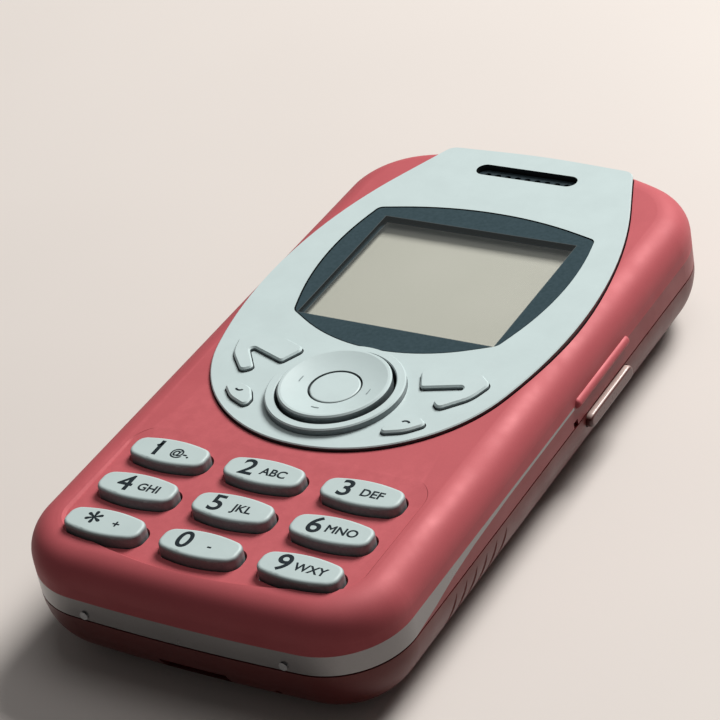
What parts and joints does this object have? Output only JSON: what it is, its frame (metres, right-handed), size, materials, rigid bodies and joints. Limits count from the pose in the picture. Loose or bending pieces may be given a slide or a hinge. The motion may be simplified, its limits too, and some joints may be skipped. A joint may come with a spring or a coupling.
{
  "type": "slider phone",
  "caption": "Compact slider phone with an oval face plate, display, round navigation key, stadium number keys and a side key, closed, lying on its back.",
  "frame": {"origin": "centre of the bounding box on the rear rest plane", "axes": "+Y along the phone to the earpiece end, +Z out of the front face, +X to the side key"},
  "size_m": [0.0464, 0.0896, 0.0174],
  "materials": {
    "red_shell": "satin metallic red paint",
    "red_frame": "satin metallic red paint",
    "dark_red": "satin dark red paint",
    "pearl_plate": "satin pearl",
    "silver_trim": "satin silver",
    "window": "clear with a dark printed border",
    "lcd": "matt display film",
    "key_grey": "satin moulded",
    "black_plastic": "matt",
    "white_plastic": "matt",
    "mat_rubber": "matt",
    "steel": "brushed",
    "dark_steel": "zinc black",
    "board": "solder mask green",
    "gold": "plated",
    "battery_wrap": "printed wrap",
    "ribbon": "amber film"
  },
  "bodies": {
    "base": {"side_key_switch": "black_plastic", "rear_shell": "dark_red", "base_deck": "black_plastic", "guide_rail_left": "white_plastic", "guide_rail_right": "white_plastic", "detent_spring": "steel", "base_key_mat": "mat_rubber", "inner_tray": "black_plastic", "main_board": "board", "battery": "battery_wrap", "battery_contacts": "gold", "vibration_motor": "steel", "loudspeaker": "black_plastic", "microphone": "dark_steel", "antenna": "gold", "bottom_connector": "steel", "sim_holder": "steel", "base_screws": "dark_steel", "flex_ribbon": "ribbon"},
    "upper": {"front_shell": "red_shell", "face_plate": "pearl_plate", "display_window": "window", "lcd_frame": "black_plastic", "lcd_panel": "lcd", "light_guide": "white_plastic", "earpiece_grille": "black_plastic", "earpiece_speaker": "dark_steel", "nav_ring": "pearl_plate", "keypad_mat": "mat_rubber", "dome_sheet": "steel", "upper_board": "board", "mid_frame": "red_frame", "trim_band": "silver_trim", "end_studs": "steel", "slider_plate": "steel", "slider_screws": "dark_steel", "upper_screws": "dark_steel"},
    "battery_cover": {"battery_cover": "dark_red"},
    "nav_carrier": {"nav_carrier": "white_plastic"},
    "nav_disc": {"nav_disc": "pearl_plate"},
    "center_button": {"center_button": "pearl_plate"},
    "soft_key_left": {"soft_key_left": "pearl_plate"},
    "soft_key_right": {"soft_key_right": "pearl_plate"},
    "call_key": {"call_key": "pearl_plate"},
    "end_key": {"end_key": "pearl_plate"},
    "side_key": {"side_key": "silver_trim"},
    "key_1": {"key_1": "key_grey"},
    "key_2": {"key_2": "key_grey"},
    "key_3": {"key_3": "key_grey"},
    "key_4": {"key_4": "key_grey"},
    "key_5": {"key_5": "key_grey"},
    "key_6": {"key_6": "key_grey"},
    "key_star": {"key_star": "key_grey"},
    "key_0": {"key_0": "key_grey"},
    "key_9": {"key_9": "key_grey"},
    "key_7": {"key_7": "key_grey"},
    "key_8": {"key_8": "key_grey"},
    "key_hash": {"key_hash": "key_grey"}
  },
  "joints": [
    {"name": "slide_open", "type": "slide", "parent": "base", "child": "upper", "axis": [0, 1, 0], "range_m": [0, 0.022]},
    {"name": "cover_slide", "type": "slide", "parent": "base", "child": "battery_cover", "axis": [0, -1, 0], "range_m": [0, 0.0032]},
    {"name": "key_1_press", "type": "slide", "parent": "upper", "child": "key_1", "axis": [0, 0, -1], "range_m": [0, 0.0004], "stiffness_N_per_m": 1500},
    {"name": "key_2_press", "type": "slide", "parent": "upper", "child": "key_2", "axis": [0, 0, -1], "range_m": [0, 0.0004], "stiffness_N_per_m": 1500},
    {"name": "key_3_press", "type": "slide", "parent": "upper", "child": "key_3", "axis": [0, 0, -1], "range_m": [0, 0.0004], "stiffness_N_per_m": 1500},
    {"name": "key_4_press", "type": "slide", "parent": "upper", "child": "key_4", "axis": [0, 0, -1], "range_m": [0, 0.0004], "stiffness_N_per_m": 1500},
    {"name": "key_5_press", "type": "slide", "parent": "upper", "child": "key_5", "axis": [0, 0, -1], "range_m": [0, 0.0004], "stiffness_N_per_m": 1500},
    {"name": "key_6_press", "type": "slide", "parent": "upper", "child": "key_6", "axis": [0, 0, -1], "range_m": [0, 0.0004], "stiffness_N_per_m": 1500},
    {"name": "key_star_press", "type": "slide", "parent": "upper", "child": "key_star", "axis": [0, 0, -1], "range_m": [0, 0.0004], "stiffness_N_per_m": 1500},
    {"name": "key_0_press", "type": "slide", "parent": "upper", "child": "key_0", "axis": [0, 0, -1], "range_m": [0, 0.0004], "stiffness_N_per_m": 1500},
    {"name": "key_9_press", "type": "slide", "parent": "upper", "child": "key_9", "axis": [0, 0, -1], "range_m": [0, 0.0004], "stiffness_N_per_m": 1500},
    {"name": "key_7_press", "type": "slide", "parent": "base", "child": "key_7", "axis": [0, 0, -1], "range_m": [0, 0.0003], "stiffness_N_per_m": 1800},
    {"name": "key_8_press", "type": "slide", "parent": "base", "child": "key_8", "axis": [0, 0, -1], "range_m": [0, 0.0003], "stiffness_N_per_m": 1800},
    {"name": "key_hash_press", "type": "slide", "parent": "base", "child": "key_hash", "axis": [0, 0, -1], "range_m": [0, 0.0003], "stiffness_N_per_m": 1800},
    {"name": "soft_key_left_press", "type": "slide", "parent": "upper", "child": "soft_key_left", "axis": [0, 0, -1], "range_m": [0, 0.0004], "stiffness_N_per_m": 1500},
    {"name": "soft_key_right_press", "type": "slide", "parent": "upper", "child": "soft_key_right", "axis": [0, 0, -1], "range_m": [0, 0.0004], "stiffness_N_per_m": 1500},
    {"name": "call_key_press", "type": "slide", "parent": "upper", "child": "call_key", "axis": [0, 0, -1], "range_m": [0, 0.0004], "stiffness_N_per_m": 1500},
    {"name": "end_key_press", "type": "slide", "parent": "upper", "child": "end_key", "axis": [0, 0, -1], "range_m": [0, 0.0004], "stiffness_N_per_m": 1500},
    {"name": "center_button_press", "type": "slide", "parent": "upper", "child": "center_button", "axis": [0, 0, -1], "range_m": [0, 0.0004], "stiffness_N_per_m": 1500},
    {"name": "nav_tilt_up_down", "type": "hinge", "parent": "upper", "child": "nav_carrier", "pos_m": [-0.00035, -0.0098, 0.015], "axis": [1, 0, 0], "range_deg": [-2.5, 2.5], "stiffness_Nm_per_rad": 0.2},
    {"name": "nav_tilt_left_right", "type": "hinge", "parent": "nav_carrier", "child": "nav_disc", "pos_m": [-0.00035, -0.0098, 0.015], "axis": [0, 1, 0], "range_deg": [-2.5, 2.5], "stiffness_Nm_per_rad": 0.2},
    {"name": "side_key_press", "type": "slide", "parent": "base", "child": "side_key", "axis": [-1, 0, 0], "range_m": [0, 0.0004], "stiffness_N_per_m": 1500}
  ]
}
